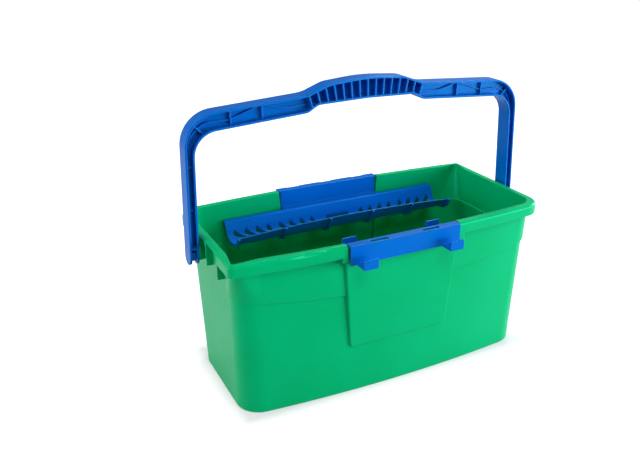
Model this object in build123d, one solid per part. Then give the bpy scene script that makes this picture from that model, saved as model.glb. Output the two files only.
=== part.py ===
from build123d import *
from math import asin, degrees, sqrt
import os

# Window cleaning bucket: a moulded body, a swinging bail handle, a tool clip on the front rim
# and a draining sieve hung on the rear rim. Millimetres. X runs along the bucket, Y to the back,
# Z up, and the origin is the middle of the base.

# Bucket rim
RIM_LENGTH = 500.0
RIM_DEPTH = 225.0             # measured at the ends of the long sides
RIM_BOW = 13.2                # swell of each long side at its middle
RIM_CORNER = 32.0
RIM_SPOUT_CORNER = 8.0        # of the two corners with a spout
RIM_HEIGHT = 239.5            # top of the rim above the ground
RIM_WIDTH = 11.6
RIM_THICKNESS = 3.0
RIM_ROUND = 5.0
RIM_LIP_BEVEL = 1.0
SKIRT_DROP = 16.6
SKIRT_WALL = 2.5

# Bucket walls
WALL = 3.0
FLOOR = 3.5
BASE_LENGTH = 467.0
BASE_DEPTH = 187.0
BASE_BOW = 13.7
BASE_CORNER = 36.0
TOP_CORNER = 27.0             # of the lower wall, carried up to the rim's top
BASE_ROUND = 1.5
FLOOR_ROUND = 2.0             # inside, where the floor meets the walls
SHOULDER_STEP = 2.2           # how far the upper band of the wall stands proud
SHOULDER_DROP = 57.5          # of the step below the rim's top, at the end walls
SHOULDER_SAG = 23.3           # how much lower the step runs at the middle of the long walls

# Pouring spouts, flared out of the upper band at two opposite corners
SPOUT_REACH = 5.5             # of the tip beyond the band's ends and long sides, at the rim
SPOUT_END_ROOM = 6.0          # the flare starts this far from the corner's round, on an end wall
SPOUT_SIDE_ROOM = 3.5         # and on a long wall
SPOUT_ROUND = 6.0             # of the tip, at the rim

# Seat panels in the long walls, behind the clip and the sieve's hanger
SEAT_SETBACK = 4.2            # of the panel's face behind the rim's outer edge, at the top
SEAT_SIDE_ROOM = 0.5          # from a saddle's inner plate to the panel's side wall
SEAT_NARROWING = 13.0         # how much narrower each half is at the panel's low edge
SEAT_LOW = 77.0               # height of the low edge
SEAT_LEAN = 9.5               # how far the face leans in at its low edge
SEAT_EDGE_ROUND = 1.5         # along the face's sides and its low edge
SEAT_CORNER = 6.0             # of the panel's low corners

# Plates that close the rim's channel at its cuts
STOP_WALL = 3.0
SEAT_STOP_DROP = 23.5         # the skirt hangs this low beside the seats
SEAT_STOP_WIDTH = 8.0
PIVOT_GAP_HALF = 63.0         # half width of the cut in the skirt round each pivot
PIVOT_STOP_DROP = 38.0
GUSSET_OFFSET = 20.0
GUSSET_DROP = 36.0

# Handle pivots
PIVOT_DROP = 25.5             # below the rim's top
BOSS_RADIUS = 9.0
STUD_RADIUS = 5.0
STUD_LENGTH = 8.5
STUD_BEVEL = 1.0
PIVOT_CLEARANCE = 0.15        # round the stud
PIVOT_END_PLAY = 0.3          # along the stud, at the boss and at its tip

# Bail handle
BAIL_WIDTH = 26.0             # across its flanges, front to back
BAIL_FLANGE = 2.8
BAIL_WEB = 2.5
BAIL_RIB = 2.0
BAIL_RIB_SETBACK = 6.5        # of the bar's and arms' ribs behind the flange edges
BAIL_EDGE_ROUND = 1.0
ARM_ROOM = 6.6                # from the rim's end to an arm's inner face at the pivot
ARM_LEAN = 6.0                # how far the arms lean in at the corners
ARM_DEPTH_FOOT = 13.0         # outer to inner face of an arm at the pivot
ARM_DEPTH_TOP = 12.2          # and at the corner
CORNER_RISE = 192.6           # outer corner above the pivot
BAR_DEPTH = 24.6              # outer to inner face of the top bar
OUTER_BEND = 47.0
INNER_BEND = 33.0
GRIP_HALF = 91.6              # from the middle to the last rib of the grip
GRIP_FOOT_STEP = 10.9         # where the bar meets the grip, above the corners
GRIP_SHOULDER_INSET = 31.6    # from the last rib of the grip to its shoulder
GRIP_SHOULDER_STEP = 11.9     # of the shoulder above the grip's foot
GRIP_CROWN_STEP = 5.0         # of the crown above the shoulder
GRIP_BEND = 45.0              # where the bar turns up into the grip
GRIP_CROWN_BEND = 300.0
GRIP_RELIEF_INSET = 15.6      # from the last rib to the hollow under the grip
GRIP_RELIEF_STEP = 9.2        # of that hollow above the bar's inner face
GRIP_RELIEF_CROWN_STEP = 2.0
GRIP_RELIEF_BEND = 16.0
GRIP_RIBS = 15
GRIP_FAN_RADIUS = 340.0       # the ribs point at a centre this far below the crown
BAR_RIB_SETBACKS = (107.8, 63.6)  # from an arm's outer face at the corner
ARM_RIB_RISES = (64.9, 124.4)
FOOT_RIB_RISE = 11.5          # clear height of the pivot eye below the foot's rib
EYE_RADIUS = 8.6
WAVE_RIB_WALL = 1.4
WAVE_RIB_HEIGHT = 3.5         # above the web
WAVE_DROP = 1.8               # below the bar's middle, where the wave leaves the grip
WAVE_DIP = -2.0
WAVE_CREST = 7.0
WAVE_TROUGH = -8.5
WAVE_DIP_BEND = 1.5           # of the dip, in half spans from the grip to the first rib

# Tool clip and hanger saddles
CLIP_LENGTH = 173.8
CLIP_END_GAP = 2.0            # to the rim's cut ends
CLIP_PROUD = 2.3              # of the outer plate, beyond the middle of the rim
CLIP_WALL = 2.5
CLIP_DROP = 27.7              # outer plate below the rim's top
CLIP_INNER_DROP = 22.0
SADDLE_INSET = 2.6            # the inner plate is this much shorter at each end
CLIP_FIT = 0.3                # to the seat panel, inside and outside
CLIP_GRIP_RIBS = (-72.0, -36.0, 0.0, 36.0, 72.0)
CLIP_GRIP_DROP = 16.0
CLIP_EDGE_ROUND = 0.8
HOOK_INSET = 8.4              # from the clip's end to a hook
HOOK_WIDTH = 21.6
HOOK_WALL = 2.5
HOOK_REACH = 21.5
HOOK_LIP = 14.0
INNER_HOOK_REACH = 29.5
INNER_HOOK_LIP = 16.5
WINDOW_START = 28.0           # windows in the clip's top, from its middle
WINDOW_END = 55.0
WINDOW_DEPTH = 6.5

# Hanging sieve
SIEVE_LENGTH = 368.8
SIEVE_WALL = 2.4
SIEVE_FLANGE = 10.0           # rear edge of the trough's flange, forward of the hanger
SIEVE_CREASE = 17.5           # where the flange turns down into the back wall
SIEVE_HEEL = (30.5, -22.4)    # back of the floor: forward of the hanger, and above its ledge
SIEVE_VALLEY = (51.0, -23.0)  # lowest line of the floor
SIEVE_TOE = (67.0, -17.7)     # front of the floor
SIEVE_FRONT = (80.1, 3.5)     # the front wall's top before its edge is trimmed
SIEVE_CREASE_ROUND = 4.0
SIEVE_HEEL_ROUND = 11.0
SIEVE_VALLEY_ROUND = 40.0
SIEVE_TOE_ROUND = 12.0
SIEVE_LIP_END = 33.5          # front edge below the rim's top, at the ends
SIEVE_LIP_CROWN = 24.5        # and at the middle
SIEVE_BAYS = 5                # between ribs
SIEVE_RIB_WALL = 2.4
SIEVE_RIB_DEPTH = 3.8
SLOT_MARGIN = 10.3            # from a rib to the nearest slots
SLOTS_IN_BAY = 4              # the one nearest the middle is short
SLOT_FORWARD = 26.2           # of the slots' upper ends, from the hanger
SLOT_WIDTH = 6.0
SLOT_LENGTH = 31.0
SHORT_SLOT_LENGTH = 9.0
SLOT_SLANT = 34.0
CENTRE_SLOT_LENGTH = 43.0
HANGER_LEDGE_DROP = 26.5      # ledge between hanger and trough, below the rim's top
HANGER_NOTCHES = (-57.5, 0.0, 57.5)
HANGER_NOTCH_LENGTH = 22.0
HANGER_NOTCH_DEPTH = 1.3

# Sizes that follow
WALL_TOP_INSET = RIM_WIDTH - WALL
RIM_MIDDLE = RIM_DEPTH / 2 + RIM_BOW
PIVOT_HEIGHT = RIM_HEIGHT - PIVOT_DROP
ARM_OUTER_FOOT = RIM_LENGTH / 2 + ARM_ROOM + ARM_DEPTH_FOOT
ARM_OUTER_TOP = ARM_OUTER_FOOT - ARM_LEAN
BOSS_TIP = ARM_OUTER_FOOT - ARM_DEPTH_FOOT - PIVOT_END_PLAY
SEAT_FACE = RIM_MIDDLE - SEAT_SETBACK
SEAT_TOP = RIM_HEIGHT - CLIP_WALL
SEAT_TAPER = SEAT_NARROWING / (RIM_HEIGHT - SEAT_LOW)
SEAT_TILT = SEAT_LEAN / (RIM_HEIGHT - SEAT_LOW)
HANGER_DROP = HANGER_LEDGE_DROP + SIEVE_WALL
GRIP_FOOT_RISE = CORNER_RISE + GRIP_FOOT_STEP
GRIP_SHOULDER_RISE = GRIP_FOOT_RISE + GRIP_SHOULDER_STEP
GRIP_CROWN_RISE = GRIP_SHOULDER_RISE + GRIP_CROWN_STEP
GRIP_RELIEF_RISE = GRIP_FOOT_RISE - BAR_DEPTH + GRIP_RELIEF_STEP
BAR_RIB_HALVES = [ARM_OUTER_TOP - setback for setback in BAR_RIB_SETBACKS]
SADDLE_HALF = CLIP_LENGTH / 2 - SADDLE_INSET
SEAT_TOP_HALF = SADDLE_HALF + SEAT_SIDE_ROOM + SEAT_EDGE_ROUND + WALL + SEAT_TAPER * HANGER_DROP
RECESS_HALF = CLIP_LENGTH / 2 + CLIP_END_GAP
CLIP_OUTER = RIM_MIDDLE + CLIP_PROUD
CLIP_INNER = SEAT_FACE - WALL - CLIP_FIT - SEAT_TILT * HANGER_DROP - CLIP_WALL
HOOK_OFFSET = CLIP_LENGTH / 2 - HOOK_INSET - HOOK_WIDTH / 2
FAR = 2 * RIM_LENGTH


def span_box(x, y, z):
    """Box between two corners, given as three (low, high) pairs."""
    size = [high - low for low, high in (x, y, z)]
    middle = [(high + low) / 2 for low, high in (x, y, z)]
    return Pos(*middle) * Box(*size)


def both_ends(shape):
    """A shape at the +X end with its mirror image at the -X end."""
    return shape + mirror(shape, Plane.YZ)


def both_sides(shape):
    """A shape at the back with its mirror image at the front."""
    return shape + mirror(shape, Plane.XZ)


def bowed_outline(length, depth, bow, corner, spout_corner, height):
    """Outline with straight ends, bowed long sides and round corners, at a height."""
    end = length / 2
    side = depth / 2
    face = make_face(
        [
            ThreePointArc((-end, -side), (0, -side - bow), (end, -side)),
            Line((end, -side), (end, side)),
            ThreePointArc((end, side), (0, side + bow), (-end, side)),
            Line((-end, side), (-end, -side)),
        ]
    )
    face = fillet([point for point in face.vertices() if point.X * point.Y < 0], corner)
    sharp = [point for point in face.vertices() if abs(point.X) + abs(point.Y) > end + side - 0.001]
    return Pos(0, 0, height) * fillet(sharp, spout_corner)


def rim_outline(inset, height):
    """Outline of the rim, moved inwards by an inset."""
    corners = (RIM_CORNER - inset, RIM_SPOUT_CORNER - inset)
    return bowed_outline(RIM_LENGTH - 2 * inset, RIM_DEPTH - 2 * inset, RIM_BOW, *corners, height)


def wall_length(height):
    """Length over the end walls at a height."""
    top_length = RIM_LENGTH - 2 * (WALL_TOP_INSET + SHOULDER_STEP)
    return BASE_LENGTH + height / RIM_HEIGHT * (top_length - BASE_LENGTH)


def wall_sizes(grow, height):
    """Length, depth, bow and corner of the tapering lower wall at a height, moved outwards by grow."""
    share = height / RIM_HEIGHT
    top_depth = RIM_DEPTH - 2 * (WALL_TOP_INSET + SHOULDER_STEP)
    depth = BASE_DEPTH + share * (top_depth - BASE_DEPTH)
    bow = BASE_BOW + share * (RIM_BOW - BASE_BOW)
    corner = BASE_CORNER + share * (TOP_CORNER - BASE_CORNER)
    return wall_length(height) + 2 * grow, depth + 2 * grow, bow, corner + grow


def wall_outline(grow, height):
    """Outline of the tapering lower wall at a height, moved outwards by grow."""
    length, depth, bow, corner = wall_sizes(grow, height)
    return bowed_outline(length, depth, bow, corner, corner, height)


def wall_solid(grow, low, high):
    """Solid inside the tapering wall, between two heights."""
    return loft([wall_outline(grow, low), wall_outline(grow, high)])


def band_outline(inset, height, spouted):
    """Outline of the wall's upper band at a height, moved inwards, with or without the spouts."""
    length, depth, bow, corner = wall_sizes(SHOULDER_STEP - inset, height)
    end = length / 2
    side = depth / 2
    bow_radius = (end ** 2 + bow ** 2) / (2 * bow)
    bow_centre = side + bow - bow_radius

    def on_side(x):
        return (x, bow_centre + sqrt(bow_radius ** 2 - x ** 2))

    corner_x = end - corner
    corner_y = bow_centre + sqrt((bow_radius - corner) ** 2 - corner_x ** 2)
    side_end = on_side(corner_x * bow_radius / (bow_radius - corner))
    end_end = (end, corner_y)
    turn = corner / sqrt(2)
    corner_middle = (corner_x + turn, corner_y + turn)
    side_start = on_side(corner_x - SPOUT_SIDE_ROOM)
    end_start = (end, corner_y - SPOUT_END_ROOM)
    if spouted:
        tip = (end + SPOUT_REACH, side + SPOUT_REACH)
        spout = FilletPolyline(side_start, tip, end_start, radius=SPOUT_ROUND - inset).edges()
    else:
        side_middle = on_side((side_start[0] + side_end[0]) / 2)
        spout = [
            ThreePointArc(side_start, side_middle, side_end),
            ThreePointArc(side_end, corner_middle, end_end),
            Line(end_end, end_start),
        ]
    half = [
        ThreePointArc((0, side + bow), on_side(side_start[0] / 2), side_start),
        *spout,
        Line(end_start, (end, -corner_y)),
        mirror(ThreePointArc(end_end, corner_middle, side_end), Plane.XZ),
        mirror(ThreePointArc(side_end, on_side(side_end[0] / 2), (0, side + bow)), Plane.XZ),
    ]
    return Pos(0, 0, height) * make_face(half + [Rot(0, 0, 180) * edge for edge in half])


def band_solid(inset, top):
    """Solid inside the upper band, from below the shoulder to a height, with its spouts."""
    low = band_outline(inset, RIM_HEIGHT / 2, False)
    root = band_outline(inset, RIM_HEIGHT - SHOULDER_DROP, False)
    return loft([low, root, band_outline(inset, top, True)], ruled=True)


def above_shoulder(lift):
    """Everything above the sagging line of the shoulder, raised by lift."""
    end = RIM_LENGTH / 2
    low = RIM_HEIGHT - SHOULDER_DROP + lift
    side = make_face(
        [
            ThreePointArc((-end, low), (0, low - SHOULDER_SAG), (end, low)),
            Polyline((end, low), (end, 2 * RIM_HEIGHT), (-end, 2 * RIM_HEIGHT), (-end, low)),
        ]
    )
    return extrude(Plane.XZ * side, RIM_DEPTH, both=True)


def seat_panel(grow, top):
    """Flat trapezoid bump at the back that carries a saddle, moved outwards by grow."""
    low = SEAT_LOW - grow
    low_half = SEAT_TOP_HALF - SEAT_NARROWING + grow
    top_half = low_half + SEAT_TAPER * (top - low)
    trapezoid = [(-low_half, low), (low_half, low), (top_half, top), (-top_half, top)]
    front = make_face(Polyline(*trapezoid, close=True))
    front = fillet(front.vertices().group_by(Axis.Y)[0], SEAT_CORNER + grow)

    def face_at(height):
        return SEAT_FACE + grow - SEAT_TILT * (RIM_HEIGHT - height)

    root = SEAT_FACE - RIM_DEPTH / 8
    side_view = [(root, low), (face_at(low), low), (face_at(top), top), (root, top)]
    profile = make_face(Polyline(*side_view, close=True))
    panel = extrude(Plane.XZ * front, -FAR) & extrude(Plane.YZ * profile, FAR, both=True)
    face = panel.faces().sort_by(Axis.Y)[-1]
    outline = [edge for edge in face.edges() if edge.center().Z < top - SEAT_EDGE_ROUND]
    return fillet(outline, SEAT_EDGE_ROUND)


def make_bucket():
    """The body: tapering walls, shoulder, seat panels, rim with skirt, and the pivot studs."""
    top = RIM_HEIGHT
    lower = wall_solid(0, 0, top)
    lower = fillet(lower.edges().group_by(Axis.Z)[0], BASE_ROUND)
    upper = band_solid(0, top) & above_shoulder(0)

    # Rim: a flat flange with a hanging skirt, open below
    block = extrude(rim_outline(0, top - PIVOT_STOP_DROP), PIVOT_STOP_DROP)
    block = fillet(block.edges().group_by(Axis.Z)[-1], RIM_ROUND)
    channel = extrude(rim_outline(SKIRT_WALL, 0), top - RIM_THICKNESS)
    below_skirt = span_box((-FAR, FAR), (-FAR, FAR), (0, top - SKIRT_DROP))
    beside_seat = (RECESS_HALF, RECESS_HALF + SEAT_STOP_WIDTH)
    seat_skirt = span_box(beside_seat, (RIM_DEPTH / 4, FAR), (top - SEAT_STOP_DROP, top))
    rim = block - channel - (below_skirt - both_ends(both_sides(seat_skirt)))

    # Cuts in the rim for the saddles, and in the skirt for the pivots
    recess = both_sides(span_box((-RECESS_HALF, RECESS_HALF), (RIM_DEPTH / 4, FAR), (0, FAR)))
    skirt_x = (RIM_LENGTH / 2 - RIM_WIDTH, FAR)
    pivot_cut = span_box(skirt_x, (-PIVOT_GAP_HALF, PIVOT_GAP_HALF), (0, top - RIM_THICKNESS))
    rim = rim - recess - both_ends(pivot_cut)

    # Plates that close the skirt beside those cuts, and gussets beside the pivots
    stop_x = (RECESS_HALF, RECESS_HALF + STOP_WALL)
    seat_stop = span_box(stop_x, (RIM_DEPTH / 4, FAR), (top - SEAT_STOP_DROP, top))
    stop_y = (PIVOT_GAP_HALF, PIVOT_GAP_HALF + STOP_WALL)
    pivot_stop = span_box((RIM_LENGTH / 4, FAR), stop_y, (top - PIVOT_STOP_DROP, top))
    gusset_y = (GUSSET_OFFSET - STOP_WALL / 2, GUSSET_OFFSET + STOP_WALL / 2)
    gusset = span_box((RIM_LENGTH / 4, FAR), gusset_y, (top - GUSSET_DROP, top))
    plates = both_ends(both_sides(seat_stop + pivot_stop + gusset)) & block

    # Round bosses that carry the handle
    root = wall_length(PIVOT_HEIGHT) / 2 - WALL
    at_pivot = Pos(root, 0, PIVOT_HEIGHT) * Rot(0, 90, 0)
    boss = at_pivot * extrude(Circle(BOSS_RADIUS), BOSS_TIP - root)
    stud = at_pivot * extrude(Circle(STUD_RADIUS), BOSS_TIP + STUD_LENGTH - root)
    stud = chamfer(stud.edges().group_by(Axis.X)[-1], STUD_BEVEL)

    outside = lower + upper + rim + plates + both_ends(boss + stud)
    outside -= recess & span_box((-FAR, FAR), (-FAR, FAR), (SEAT_TOP, FAR))
    outside += both_sides(seat_panel(0, SEAT_TOP))

    # Hollow of the bucket, with the seat panels hollow from inside
    hollow = wall_solid(-WALL, FLOOR, top + WALL)
    hollow = fillet(hollow.edges().group_by(Axis.Z)[0], FLOOR_ROUND)
    hollow += band_solid(WALL, top + WALL) & above_shoulder(WALL)
    hollow += both_sides(seat_panel(-WALL, top + WALL))
    lip_low = band_outline(WALL + RIM_LIP_BEVEL, top - 2 * RIM_LIP_BEVEL, True)
    lip = loft([lip_low, band_outline(WALL - RIM_LIP_BEVEL, top, True)])
    return outside - hollow - lip


def bail_loop():
    """Front view of the bail between its outer and inner lines, X across and Z up."""
    pivot = PIVOT_HEIGHT
    low = pivot - BAIL_WIDTH / 2
    foot_outer = ARM_OUTER_FOOT + ARM_LEAN / CORNER_RISE * (pivot - low)
    inner_corner = ARM_OUTER_TOP - ARM_DEPTH_TOP
    foot_inner = foot_outer - ARM_DEPTH_FOOT
    outer_half = [
        (foot_outer, low),
        (ARM_OUTER_TOP, pivot + CORNER_RISE),
        (GRIP_HALF, pivot + GRIP_FOOT_RISE),
        (GRIP_HALF - GRIP_SHOULDER_INSET, pivot + GRIP_SHOULDER_RISE),
    ]
    inner_half = [
        (foot_inner, low),
        (inner_corner, pivot + CORNER_RISE - BAR_DEPTH),
        (GRIP_HALF, pivot + GRIP_FOOT_RISE - BAR_DEPTH),
        (GRIP_HALF - GRIP_RELIEF_INSET, pivot + GRIP_RELIEF_RISE),
    ]

    def line(half, crown, radii):
        left = [(-x, z) for x, z in half]
        points = left + [(0, crown)] + half[::-1]
        return FilletPolyline(*points, radius=radii + [GRIP_CROWN_BEND] + radii[::-1])

    relief_crown = pivot + GRIP_RELIEF_RISE + GRIP_RELIEF_CROWN_STEP
    outer = line(outer_half, pivot + GRIP_CROWN_RISE, [OUTER_BEND, GRIP_BEND, GRIP_BEND])
    inner = line(inner_half, relief_crown, [INNER_BEND, GRIP_RELIEF_BEND, GRIP_RELIEF_BEND])
    feet = [Line((side * foot_outer, low), (side * foot_inner, low)) for side in (-1, 1)]
    return make_face([*outer.edges(), *inner.edges(), *feet])


def grip_ribs():
    """Front view of the fan of ribs in the grip."""
    fan_centre = PIVOT_HEIGHT + GRIP_CROWN_RISE - GRIP_FAN_RADIUS
    half_fan = degrees(asin(GRIP_HALF / GRIP_FAN_RADIUS))
    rib = Pos(0, GRIP_FAN_RADIUS) * Rectangle(BAIL_RIB, 3 * BAR_DEPTH)
    ribs = Sketch()
    for i in range(GRIP_RIBS):
        turn = half_fan * (1 - 2 * i / (GRIP_RIBS - 1))
        ribs += Pos(0, fan_centre) * Rot(0, 0, turn) * rib
    return ribs


def frame_ribs():
    """Front view of the ribs that cross the bar, the corners and the arms."""
    pivot = PIVOT_HEIGHT
    tall = 3 * BAR_DEPTH
    bar_slope = (GRIP_FOOT_RISE - CORNER_RISE) / (ARM_OUTER_TOP - GRIP_HALF)
    bar_tilt = degrees(asin(bar_slope))
    ribs = Sketch()
    for side in (-1, 1):
        for half in BAR_RIB_HALVES:
            rise = GRIP_FOOT_RISE - bar_slope * (half - GRIP_HALF) - BAR_DEPTH / 2
            ribs += Pos(side * half, pivot + rise) * Rot(0, 0, -side * bar_tilt) * Rectangle(BAIL_RIB, tall)
        for rise in ARM_RIB_RISES:
            ribs += Pos(side * ARM_OUTER_TOP, pivot + rise) * Rectangle(tall, BAIL_RIB)
        bend = (side * (ARM_OUTER_TOP - OUTER_BEND / 2), pivot + CORNER_RISE - OUTER_BEND / 2)
        ribs += Pos(*bend) * Rot(0, 0, -side * 45) * Rectangle(BAIL_RIB, tall)
    return ribs


def wave_rib():
    """Low wavy rib on the +X half of the web, from the grip round the corner and down the arm."""
    middle = PIVOT_HEIGHT + GRIP_FOOT_RISE - BAR_DEPTH / 2 - WAVE_DROP
    near, far = BAR_RIB_HALVES
    corner_x = ARM_OUTER_TOP - ARM_DEPTH_TOP / 2
    foot_x = ARM_OUTER_FOOT - ARM_DEPTH_FOOT / 2
    half_span = (near - GRIP_HALF) / 2
    points = [
        (GRIP_HALF, middle),
        (GRIP_HALF + half_span, middle + WAVE_DIP),
        (near, middle + WAVE_CREST),
        (far, middle + WAVE_TROUGH),
        (corner_x, middle + WAVE_TROUGH),
        (foot_x, PIVOT_HEIGHT + FOOT_RIB_RISE),
    ]
    bends = [WAVE_DIP_BEND * half_span, BAR_DEPTH, BAR_DEPTH, OUTER_BEND - BAR_DEPTH / 2]
    path = FilletPolyline(*points, radius=bends)
    outline = Wire(path.edges()).offset_2d(WAVE_RIB_WALL / 2, closed=True)
    return make_face(outline.edges())


def make_bail():
    """The handle: an I-section loop with ribs, a ribbed grip and a pivot eye in each foot."""
    loop = bail_loop()
    body = extrude(Plane.XZ * loop, BAIL_WIDTH / 2, both=True)
    rims = body.edges().group_by(Axis.Y)
    body = fillet(rims[0] + rims[-1], BAIL_EDGE_ROUND)
    round_foot = Pos(0, PIVOT_HEIGHT) * Circle(BAIL_WIDTH / 2)
    upright = Pos(0, PIVOT_HEIGHT + RIM_HEIGHT) * Rectangle(BAIL_WIDTH, 2 * RIM_HEIGHT)
    body &= extrude(Plane.YZ * (round_foot + upright), FAR, both=True)

    # Channels on both faces, down to the web, between flanges and ribs
    foot_rib_top = PIVOT_HEIGHT + FOOT_RIB_RISE + BAIL_RIB
    above_foot = Pos(0, foot_rib_top + RIM_HEIGHT) * Rectangle(FAR, 2 * RIM_HEIGHT)
    inside = (offset(loop, -BAIL_FLANGE) & above_foot) - grip_ribs()
    channel = extrude(Plane.XZ * (inside - frame_ribs()), BAIL_WIDTH, both=True)
    web = extrude(Plane.XZ * loop, BAIL_WEB / 2, both=True)
    body -= channel - web
    above_ribs = extrude(Plane.XZ * inside, BAIL_WIDTH, both=True)
    body -= above_ribs - extrude(Plane.XZ * loop, BAIL_WIDTH / 2 - BAIL_RIB_SETBACK, both=True)
    wave = extrude(Plane.XZ * wave_rib(), BAIL_WEB / 2 + WAVE_RIB_HEIGHT, both=True)
    body += both_ends(wave) & extrude(Plane.XZ * loop, BAIL_WIDTH / 2, both=True)

    # Pivot eye: a round barrel between the flanges, bored for the stud and closed outside
    low = PIVOT_HEIGHT - BAIL_WIDTH
    foot_room = Pos(0, (low + PIVOT_HEIGHT + FOOT_RIB_RISE) / 2) * Rectangle(FAR, FOOT_RIB_RISE + BAIL_WIDTH)
    arm_inside = make_face(
        Polyline(
            (ARM_OUTER_FOOT - ARM_DEPTH_FOOT + BAIL_FLANGE, low),
            (ARM_OUTER_FOOT - BAIL_FLANGE, low),
            (ARM_OUTER_FOOT - BAIL_FLANGE, PIVOT_HEIGHT + BAIL_WIDTH),
            (ARM_OUTER_FOOT - ARM_DEPTH_FOOT + BAIL_FLANGE, PIVOT_HEIGHT + BAIL_WIDTH),
            close=True,
        )
    )
    room = extrude(Plane.XZ * (arm_inside & foot_room), BAIL_WIDTH, both=True)
    along_x = Pos(0, 0, PIVOT_HEIGHT) * Rot(0, 90, 0)
    barrel = along_x * Cylinder(EYE_RADIUS, FAR)
    body -= both_ends(room - barrel)
    bore_end = BOSS_TIP + STUD_LENGTH + PIVOT_END_PLAY
    bore = along_x * Cylinder(STUD_RADIUS + PIVOT_CLEARANCE, 2 * bore_end)
    return body - bore


def saddle(inner_drop):
    """U-shaped saddle over the back rim, with ribs that grip the seat panel from outside."""
    half = CLIP_LENGTH / 2
    top = RIM_HEIGHT
    inner_x = (-SADDLE_HALF, SADDLE_HALF)
    outer = span_box((-half, half), (CLIP_OUTER - CLIP_WALL, CLIP_OUTER), (top - CLIP_DROP, top))
    cover = span_box((-half, half), (CLIP_INNER, CLIP_OUTER), (top - CLIP_WALL, top))
    inner = span_box(inner_x, (CLIP_INNER, CLIP_INNER + CLIP_WALL), (top - inner_drop, top))
    shape = outer + cover + inner
    shape = fillet(shape.edges().filter_by(Axis.X).group_by(Axis.Z)[-1], CLIP_EDGE_ROUND)
    grip_y = (SEAT_FACE + CLIP_FIT, CLIP_OUTER - CLIP_WALL / 2)
    for place in CLIP_GRIP_RIBS:
        grip_x = (place - CLIP_WALL / 2, place + CLIP_WALL / 2)
        shape += span_box(grip_x, grip_y, (top - CLIP_GRIP_DROP, top - CLIP_WALL / 2))
    return shape


def hook(face, direction, low, reach, lip):
    """L-shaped hook on a plate's face, reaching along Y in a direction, with an upturned lip."""
    half = HOOK_WIDTH / 2
    tip = face + direction * reach
    arm_y = sorted((face - direction * CLIP_WALL / 2, tip))
    lip_y = sorted((tip - direction * HOOK_WALL, tip))
    shape = span_box((-half, half), arm_y, (low, low + HOOK_WALL))
    shape += span_box((-half, half), lip_y, (low, low + lip))
    lip_edges = shape.edges().filter_by(Axis.X).group_by(Axis.Z)[-1]
    return fillet(lip_edges, CLIP_EDGE_ROUND)


def make_clip():
    """Tool clip: a saddle with windows in its top, two hooks outside and two inside."""
    shape = saddle(CLIP_INNER_DROP)
    top = RIM_HEIGHT
    outer_hook = hook(CLIP_OUTER, 1, top - CLIP_DROP, HOOK_REACH, HOOK_LIP)
    inner_hook = hook(CLIP_INNER, -1, top - CLIP_INNER_DROP, INNER_HOOK_REACH, INNER_HOOK_LIP)
    shape += both_ends(Pos(HOOK_OFFSET, 0, 0) * (outer_hook + inner_hook))
    window_y = (CLIP_OUTER - CLIP_WALL - WINDOW_DEPTH, CLIP_OUTER - CLIP_WALL)
    shape -= both_ends(span_box((WINDOW_START, WINDOW_END), window_y, (top - CLIP_WALL, top)))
    return mirror(shape, Plane.XZ)


def sieve_point(place):
    """Y and Z of a place given as forward of the hanger and above its ledge."""
    forward, rise = place
    return (CLIP_INNER - forward, RIM_HEIGHT - HANGER_LEDGE_DROP + rise)


def trough_profile(thickness):
    """Cross-section of the trough in Y and Z, thickened downwards from its inner line."""
    flange = [(SIEVE_FLANGE, 0), (SIEVE_CREASE, 0)]
    bowl = [SIEVE_HEEL, SIEVE_VALLEY, SIEVE_TOE, SIEVE_FRONT]
    corners = [sieve_point(place) for place in flange + bowl]
    rounds = [SIEVE_CREASE_ROUND, SIEVE_HEEL_ROUND, SIEVE_VALLEY_ROUND, SIEVE_TOE_ROUND]
    line = FilletPolyline(*corners, radius=rounds)
    outline = Wire(line.edges()).offset_2d(thickness, side=Side.LEFT, closed=True)
    return make_face(outline.edges())


def drain_slots():
    """Plan of the slots: a long one in the middle, and a slanted row in each bay beside it."""
    bay = SIEVE_LENGTH / SIEVE_BAYS
    pitch = (bay - 2 * SLOT_MARGIN) / (SLOTS_IN_BAY - 1)
    upper_end = CLIP_INNER - SLOT_FORWARD
    slots = Pos(0, upper_end - SLOT_WIDTH / 2) * SlotOverall(CENTRE_SLOT_LENGTH, SLOT_WIDTH)
    for first in range(SIEVE_BAYS // 2):
        for i in range(SLOTS_IN_BAY):
            length = SLOT_LENGTH if i else SHORT_SLOT_LENGTH
            place = bay * (first + 0.5) + SLOT_MARGIN + i * pitch
            slant = Rot(0, 0, SLOT_SLANT) * Pos(-length / 2, 0) * SlotOverall(length, SLOT_WIDTH)
            slot = Pos(place, upper_end) * slant
            slots += slot + mirror(slot, Plane.YZ)
    return slots


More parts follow.
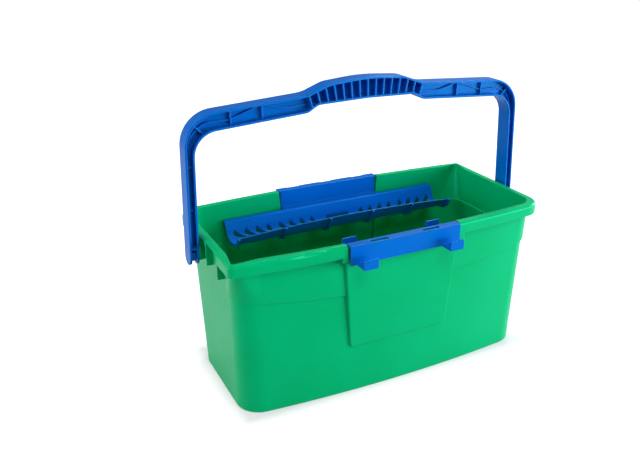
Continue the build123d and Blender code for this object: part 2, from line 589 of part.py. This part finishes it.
def make_sieve():
    """Sieve: a slotted trough with ribs beneath, a ledge and a hanger over the rear rim."""
    half = SIEVE_LENGTH / 2
    heel = sieve_point(SIEVE_HEEL)[0]
    valley = sieve_point(SIEVE_VALLEY)[0]
    trough = extrude(Plane.YZ * trough_profile(SIEVE_WALL), half, both=True)
    rib = extrude(Plane.YZ * trough_profile(SIEVE_WALL + SIEVE_RIB_DEPTH), SIEVE_RIB_WALL / 2, both=True)
    rib &= span_box((-half, half), (0, heel), (0, FAR))
    for i in range(SIEVE_BAYS + 1):
        place = (SIEVE_LENGTH - SIEVE_RIB_WALL) * (i / SIEVE_BAYS - 0.5)
        trough += Pos(place, 0, 0) * rib

    # Front edge, arched so that the wall is tallest in the middle
    lip_end = RIM_HEIGHT - SIEVE_LIP_END
    lip_crown = RIM_HEIGHT - SIEVE_LIP_CROWN
    above_lip = make_face(
        [
            ThreePointArc((-half, lip_end), (0, lip_crown), (half, lip_end)),
            Polyline((half, lip_end), (half, RIM_HEIGHT), (-half, RIM_HEIGHT), (-half, lip_end)),
        ]
    )
    in_front = span_box((-half, half), (0, valley), (0, FAR))
    trough -= extrude(Plane.XZ * above_lip, -FAR) & in_front
    trough -= extrude(drain_slots(), RIM_HEIGHT)

    # Hanger and the ledge that joins it to the trough's flange
    ledge_y = (CLIP_INNER - SIEVE_FLANGE - SIEVE_WALL, CLIP_INNER + CLIP_WALL)
    ledge_z = (RIM_HEIGHT - HANGER_DROP, RIM_HEIGHT - HANGER_LEDGE_DROP)
    ledge = span_box((-SADDLE_HALF, SADDLE_HALF), ledge_y, ledge_z)
    hanger = saddle(HANGER_DROP)
    for place in HANGER_NOTCHES:
        notch_x = (place - HANGER_NOTCH_LENGTH / 2, place + HANGER_NOTCH_LENGTH / 2)
        notch_z = (RIM_HEIGHT - HANGER_NOTCH_DEPTH, FAR)
        hanger -= span_box(notch_x, (CLIP_OUTER - CLIP_WALL, FAR), notch_z)
    return trough + ledge + hanger


os.makedirs("parts", exist_ok=True)
export_step(make_bucket(), "parts/bucket.step")
export_step(make_bail(), "parts/bail_handle.step")
export_step(make_clip(), "parts/tool_clip.step")
export_step(make_sieve(), "parts/hanging_sieve.step")
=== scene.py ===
import math

import bpy
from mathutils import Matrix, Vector

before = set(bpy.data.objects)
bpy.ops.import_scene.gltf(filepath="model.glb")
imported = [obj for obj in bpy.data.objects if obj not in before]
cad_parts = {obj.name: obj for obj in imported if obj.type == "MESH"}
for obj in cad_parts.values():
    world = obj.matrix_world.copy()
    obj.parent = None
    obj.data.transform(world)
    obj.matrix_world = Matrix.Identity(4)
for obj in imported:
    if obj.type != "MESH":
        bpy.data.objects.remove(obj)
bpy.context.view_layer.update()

# Bucket
# The body is one injection moulding in green polypropylene, with a fine satin texture from the
# mould and slightly wavy walls. Its edges are rounded by the tool and catch the light, and a paler
# colour is painted along them as a highlight.
GREEN = (0.0, 0.44, 0.155)
GREEN_DEEP = (0.0, 0.41, 0.135)
# Paler green painted along the edges as a highlight.
GREEN_EDGE_HIGHLIGHT = (0.12, 0.62, 0.36)
GREEN_SHEEN = (0.05, 1.0, 0.9)
PLASTIC_GLOSS = 0.2
PLASTIC_ROUGHNESS = (0.28, 0.32)
EDGE_RADIUS = 0.001
EDGE_SAMPLES = 8
EDGE_TURN = (0.99, 0.85)
# How much of the painted edge highlight is mixed in, low and high.
EDGE_HIGHLIGHT_LEVEL = (0.12, 0.35)
NOISE_SPAN = (0.35, 0.65)
# Each of these patterns has a scale per metre and a number of finer layers.
CLOUD_PATTERN = (9, 3)
GLOSS_PATTERN = (40, 4)
# The painted edge highlight varies along each edge with this pattern.
EDGE_HIGHLIGHT_PATTERN = (25, 2)
WAVE_PATTERN = (16, 1)
GRAIN_PATTERN = (1400, 2)
WAVE_STRENGTH = 0.12
WAVE_HEIGHT = 0.0006
GRAIN_STRENGTH = 0.03
GRAIN_HEIGHT = 0.0001


def moulded_plastic(name, deep, plain, edge_highlight, sheen):
    """Satin moulded plastic: clouded colour, uneven gloss, fine grain and soft edges with a painted
    highlight along them.
    """
    material = bpy.data.materials.new(name)
    material.use_nodes = True
    nodes = material.node_tree.nodes
    link = material.node_tree.links.new
    surface = nodes["Principled BSDF"]
    surface.inputs["Specular IOR Level"].default_value = PLASTIC_GLOSS
    surface.inputs["Specular Tint"].default_value = (*sheen, 1)
    place = nodes.new("ShaderNodeTexCoord")

    def noise(scale, detail):
        """Uneven values over the surface."""
        texture = nodes.new("ShaderNodeTexNoise")
        texture.inputs["Scale"].default_value = scale
        texture.inputs["Detail"].default_value = detail
        link(place.outputs["Object"], texture.inputs["Vector"])
        return texture.outputs["Fac"]

    def spread(value, low, high):
        """The middle of the noise, stretched from a low value to a high one."""
        ramp = nodes.new("ShaderNodeMapRange")
        ramp.inputs["From Min"].default_value = NOISE_SPAN[0]
        ramp.inputs["From Max"].default_value = NOISE_SPAN[1]
        ramp.inputs["To Min"].default_value = low
        ramp.inputs["To Max"].default_value = high
        link(value, ramp.inputs["Value"])
        return ramp.outputs["Result"]

    def bump(pattern, strength, height, normal):
        """A pattern of low hills laid over a normal."""
        hills = nodes.new("ShaderNodeBump")
        hills.inputs["Strength"].default_value = strength
        hills.inputs["Distance"].default_value = height
        link(noise(*pattern), hills.inputs["Height"])
        link(normal, hills.inputs["Normal"])
        return hills.outputs["Normal"]

    clouds = nodes.new("ShaderNodeMix")
    clouds.data_type = "RGBA"
    clouds.inputs["A"].default_value = (*deep, 1)
    clouds.inputs["B"].default_value = (*plain, 1)
    link(spread(noise(*CLOUD_PATTERN), 0, 1), clouds.inputs["Factor"])
    link(spread(noise(*GLOSS_PATTERN), *PLASTIC_ROUGHNESS), surface.inputs["Roughness"])

    # Where the bevel normal turns away from the face, the colour is painted paler: a painted highlight
    # along the edges.
    soft_edge = nodes.new("ShaderNodeBevel")
    soft_edge.samples = EDGE_SAMPLES
    soft_edge.inputs["Radius"].default_value = EDGE_RADIUS
    face = nodes.new("ShaderNodeNewGeometry")
    turn = nodes.new("ShaderNodeVectorMath")
    turn.operation = "DOT_PRODUCT"
    link(soft_edge.outputs["Normal"], turn.inputs[0])
    link(face.outputs["Normal"], turn.inputs[1])
    at_edge = nodes.new("ShaderNodeMapRange")
    at_edge.inputs["From Min"].default_value = EDGE_TURN[0]
    at_edge.inputs["From Max"].default_value = EDGE_TURN[1]
    link(turn.outputs["Value"], at_edge.inputs["Value"])
    painted_highlight = nodes.new("ShaderNodeMath")
    painted_highlight.operation = "MULTIPLY"
    link(at_edge.outputs["Result"], painted_highlight.inputs[0])
    link(spread(noise(*EDGE_HIGHLIGHT_PATTERN), *EDGE_HIGHLIGHT_LEVEL), painted_highlight.inputs[1])
    highlight_mix = nodes.new("ShaderNodeMix")
    highlight_mix.data_type = "RGBA"
    highlight_mix.inputs["B"].default_value = (*edge_highlight, 1)
    link(clouds.outputs["Result"], highlight_mix.inputs["A"])
    link(painted_highlight.outputs["Value"], highlight_mix.inputs["Factor"])
    link(highlight_mix.outputs["Result"], surface.inputs["Base Color"])

    waves = bump(WAVE_PATTERN, WAVE_STRENGTH, WAVE_HEIGHT, soft_edge.outputs["Normal"])
    grain = bump(GRAIN_PATTERN, GRAIN_STRENGTH, GRAIN_HEIGHT, waves)
    link(grain, surface.inputs["Normal"])
    return material


def dress(node, material):
    """Gives a piece its one material."""
    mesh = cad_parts[node].data
    mesh.materials.clear()
    mesh.materials.append(material)


green = moulded_plastic("green_polypropylene", GREEN_DEEP, GREEN, GREEN_EDGE_HIGHLIGHT, GREEN_SHEEN)
dress("bucket", green)

# Bail handle
# A swinging handle in blue polypropylene, moulded as an I-section with cross ribs and a ribbed
# grip. Its two feet are sprung over the studs on the bucket's ends.
BLUE = (0.0, 0.128, 0.54)
BLUE_DEEP = (0.0, 0.115, 0.5)
# Paler blue painted along the edges as a highlight.
BLUE_EDGE_HIGHLIGHT = (0.16, 0.4, 0.85)
BLUE_SHEEN = (0.05, 0.85, 1.0)
blue = moulded_plastic("blue_polypropylene", BLUE_DEEP, BLUE, BLUE_EDGE_HIGHLIGHT, BLUE_SHEEN)
dress("bail_handle", blue)

# Tool clip
# A saddle with two hooks outside and two inside for the handles of tools. It is one moulding in
# the same blue plastic, pushed down over the front seat of the rim.
dress("tool_clip", blue)

# Hanging sieve
# A slotted draining trough with its hanger, one moulding in the same blue plastic. The hanger
# hooks over the rear seat of the rim and lifts straight off.
dress("hanging_sieve", blue)

# Studio floor
# A wide matt white sheet that the bucket stands on. It looks white to the eye and, at a part of
# that strength, in reflections. Its glow is lower around the bucket's foot, a painted shade there
# that deepens the lamps' real shadow.
FLOOR_HALF = 6.0
FLOOR_WHITE = 0.4
# Lower glow at the foot: painted shade where the shadow falls.
FLOOR_GLOW_IN_FOOT_SHADE = 0.45
FLOOR_GLOW_FAR = 1.0
FLOOR_GLOW_REACH = 0.035
FOOT_HALF = (0.229, 0.1025, 0)
MIRRORED_SHARE = 0.3
floor_mesh = bpy.data.meshes.new("studio_floor")
floor_corners = [(-1, -1), (1, -1), (1, 1), (-1, 1)]
floor_points = [(FLOOR_HALF * x, FLOOR_HALF * y, 0) for x, y in floor_corners]
floor_mesh.from_pydata(floor_points, [], [(0, 1, 2, 3)])
floor = bpy.data.objects.new("studio_floor", floor_mesh)
bpy.context.collection.objects.link(floor)


def seen_directly(nodes, link):
    """One for rays from the eye, a share of it for those in a reflection, and nought for the rest."""
    rays = nodes.new("ShaderNodeLightPath")
    mirrored = nodes.new("ShaderNodeMath")
    mirrored.operation = "MAXIMUM"
    link(rays.outputs["Is Glossy Ray"], mirrored.inputs[0])
    link(rays.outputs["Is Transmission Ray"], mirrored.inputs[1])
    dimmed = nodes.new("ShaderNodeMath")
    dimmed.operation = "MULTIPLY"
    dimmed.inputs[1].default_value = MIRRORED_SHARE
    link(mirrored.outputs["Value"], dimmed.inputs[0])
    shown = nodes.new("ShaderNodeMath")
    shown.operation = "MAXIMUM"
    link(rays.outputs["Is Camera Ray"], shown.inputs[0])
    link(dimmed.outputs["Value"], shown.inputs[1])
    return shown.outputs["Value"]


paper = bpy.data.materials.new("white_paper")
paper.use_nodes = True
paper_nodes = paper.node_tree.nodes
paper_link = paper.node_tree.links.new
paper_surface = paper_nodes["Principled BSDF"]
paper_surface.inputs["Base Color"].default_value = (FLOOR_WHITE, FLOOR_WHITE, FLOOR_WHITE, 1)
paper_surface.inputs["Roughness"].default_value = 1.0
paper_surface.inputs["Specular IOR Level"].default_value = 0.0
paper_surface.inputs["Emission Color"].default_value = (1, 1, 1, 1)
paper_place = paper_nodes.new("ShaderNodeTexCoord")
from_foot = paper_place.outputs["Object"]
for operation, value in (("ABSOLUTE", None), ("SUBTRACT", FOOT_HALF), ("MAXIMUM", (0, 0, 0))):
    step = paper_nodes.new("ShaderNodeVectorMath")
    step.operation = operation
    paper_link(from_foot, step.inputs[0])
    if value:
        step.inputs[1].default_value = value
    from_foot = step.outputs["Vector"]
# The glow is lowered with closeness to the foot, a painted shade on top of the lamps' real shadow.
paper_distance = paper_nodes.new("ShaderNodeVectorMath")
paper_distance.operation = "LENGTH"
paper_link(from_foot, paper_distance.inputs[0])
paper_foot_shade = paper_nodes.new("ShaderNodeMapRange")
paper_foot_shade.inputs["From Max"].default_value = FLOOR_GLOW_REACH
paper_foot_shade.inputs["To Min"].default_value = FLOOR_GLOW_IN_FOOT_SHADE
paper_foot_shade.inputs["To Max"].default_value = FLOOR_GLOW_FAR
paper_link(paper_distance.outputs["Value"], paper_foot_shade.inputs["Value"])
paper_glow = paper_nodes.new("ShaderNodeMath")
paper_glow.operation = "MULTIPLY"
paper_link(seen_directly(paper_nodes, paper_link), paper_glow.inputs[0])
paper_link(paper_foot_shade.outputs["Result"], paper_glow.inputs[1])
paper_link(paper_glow.outputs["Value"], paper_surface.inputs["Emission Strength"])
floor_mesh.materials.append(paper)

# Studio light
# A dim room with a backdrop that is white at the horizon, and seven soft boxes: a low one at the
# front right, one high in front, one above each rear corner, one at each end and one overhead.
ROOM_LIGHT = 0.1
BACKDROP_HORIZON = 0.02
BACKDROP_TOP = 0.2
BACKDROP_WHITE = 1.0
BACKDROP_DIM = 0.2
world = bpy.data.worlds.new("studio")
bpy.context.scene.world = world
world.use_nodes = True
world_nodes = world.node_tree.nodes
world_link = world.node_tree.links.new
room = world_nodes["Background"]
room.inputs["Color"].default_value = (1, 1, 1, 1)
room.inputs["Strength"].default_value = ROOM_LIGHT
backdrop = world_nodes.new("ShaderNodeBackground")
backdrop.inputs["Color"].default_value = (1, 1, 1, 1)
direction = world_nodes.new("ShaderNodeTexCoord")
direction_parts = world_nodes.new("ShaderNodeSeparateXYZ")
world_link(direction.outputs["Generated"], direction_parts.inputs["Vector"])
backdrop_level = world_nodes.new("ShaderNodeMapRange")
backdrop_level.interpolation_type = "SMOOTHSTEP"
backdrop_level.inputs["From Min"].default_value = BACKDROP_HORIZON
backdrop_level.inputs["From Max"].default_value = BACKDROP_TOP
backdrop_level.inputs["To Min"].default_value = BACKDROP_WHITE
backdrop_level.inputs["To Max"].default_value = BACKDROP_DIM
world_link(direction_parts.outputs["Z"], backdrop_level.inputs["Value"])
world_link(backdrop_level.outputs["Result"], backdrop.inputs["Strength"])
world_mix = world_nodes.new("ShaderNodeMixShader")
world_link(seen_directly(world_nodes, world_link), world_mix.inputs["Fac"])
world_link(room.outputs["Background"], world_mix.inputs[1])
world_link(backdrop.outputs["Background"], world_mix.inputs[2])
world_link(world_mix.outputs["Shader"], world_nodes["World Output"].inputs["Surface"])
LAMP_AIM = Vector((0, 0, 0.15))
PLAIN_WHITE = (1.0, 1.0, 1.0)
COOL_WHITE = (0.9, 1.0, 1.1)
COOLER_WHITE = (0.75, 1.0, 1.3)
PALE_WHITE = (0.92, 1.0, 1.06)


def soft_box(name, place, size, watts, colour=PLAIN_WHITE):
    """Rectangular area lamp at a place, turned towards the bucket."""
    lamp = bpy.data.lights.new(name, "AREA")
    lamp.shape = "RECTANGLE"
    lamp.size, lamp.size_y = size
    lamp.energy = watts
    lamp.color = colour
    box = bpy.data.objects.new(name, lamp)
    box.location = place
    box.rotation_euler = (LAMP_AIM - Vector(place)).to_track_quat("-Z", "Y").to_euler()
    bpy.context.collection.objects.link(box)


soft_box("front_right_box", place=(1.289, -1.382, 0.349), size=(1.6, 0.5), watts=35, colour=COOL_WHITE)
soft_box("high_front_box", place=(0, -1.221, 1.605), size=(0.8, 0.6), watts=10)
soft_box("rear_left_box", place=(-0.95, 0.95, 1.49), size=(1.0, 1.0), watts=7.5)
soft_box("rear_right_box", place=(0.95, 0.95, 1.49), size=(0.5, 0.5), watts=16)
soft_box("right_box", place=(1.835, 0, 0.642), size=(1.0, 0.8), watts=22, colour=COOLER_WHITE)
soft_box("top_box", place=(0.001, 0, 2.05), size=(1.2, 1.2), watts=7.5)
soft_box("left_box", place=(-1.871, 0, 0.48), size=(1.2, 0.6), watts=20, colour=PALE_WHITE)

# Camera
# A normal lens at about a metre, above the rim and off the left end, looking down on the bucket.
# The lens and its shift are given in pixels of the picture.
CAMERA_PLACE = (-0.5086, -0.9229, 0.6394)
CAMERA_TURN = math.radians(-27.48)
CAMERA_DOWN = math.radians(22.16)
IMAGE_WIDTH = 640
SENSOR_WIDTH = 36.0
FOCAL_PIXELS = 754.59
SHIFT_PIXELS = (-25.64, -1.03)
lens = bpy.data.cameras.new("camera")
lens.sensor_width = SENSOR_WIDTH
lens.lens = FOCAL_PIXELS * SENSOR_WIDTH / IMAGE_WIDTH
lens.shift_x = SHIFT_PIXELS[0] / IMAGE_WIDTH
lens.shift_y = SHIFT_PIXELS[1] / IMAGE_WIDTH
camera = bpy.data.objects.new("camera", lens)
camera.location = CAMERA_PLACE
camera.rotation_euler = (math.pi / 2 - CAMERA_DOWN, 0, CAMERA_TURN)
bpy.context.collection.objects.link(camera)
bpy.context.scene.camera = camera
bpy.context.scene.view_settings.view_transform = "Standard"
